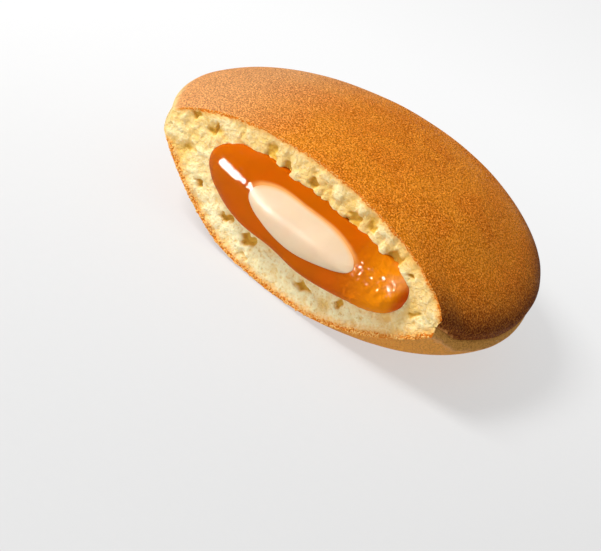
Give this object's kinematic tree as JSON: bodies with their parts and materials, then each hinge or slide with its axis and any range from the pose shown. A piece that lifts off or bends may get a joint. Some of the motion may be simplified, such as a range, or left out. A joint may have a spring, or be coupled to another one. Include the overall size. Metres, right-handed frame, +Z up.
{
  "type": "filled pancake sandwich",
  "caption": "Filled pancake sandwich lying flat: two domed pancakes around a caramel pool with a milk cream core, cut straight across the front.",
  "frame": {"origin": "centre of the flat base that it rests on, which is on the axis of the discs", "axes": "+Z up through the discs; +X along the cut, to the right for someone facing the cut; the cut face looks along -Y"},
  "size_m": [0.0912, 0.0782, 0.0356],
  "materials": {
    "browned_crust": "orange brown griddled skin with a fine grain, pale yellow crumb where it is cut",
    "golden_crust": "golden brown griddled skin, paler at the rim, pale yellow crumb where it is cut",
    "caramel": "wet amber gloss",
    "milk_cream": "smooth ivory satin"
  },
  "bodies": {
    "root": {"pancake_top": "browned_crust", "pancake_bottom": "golden_crust", "caramel": "caramel", "cream": "milk_cream"}
  },
  "joints": []
}
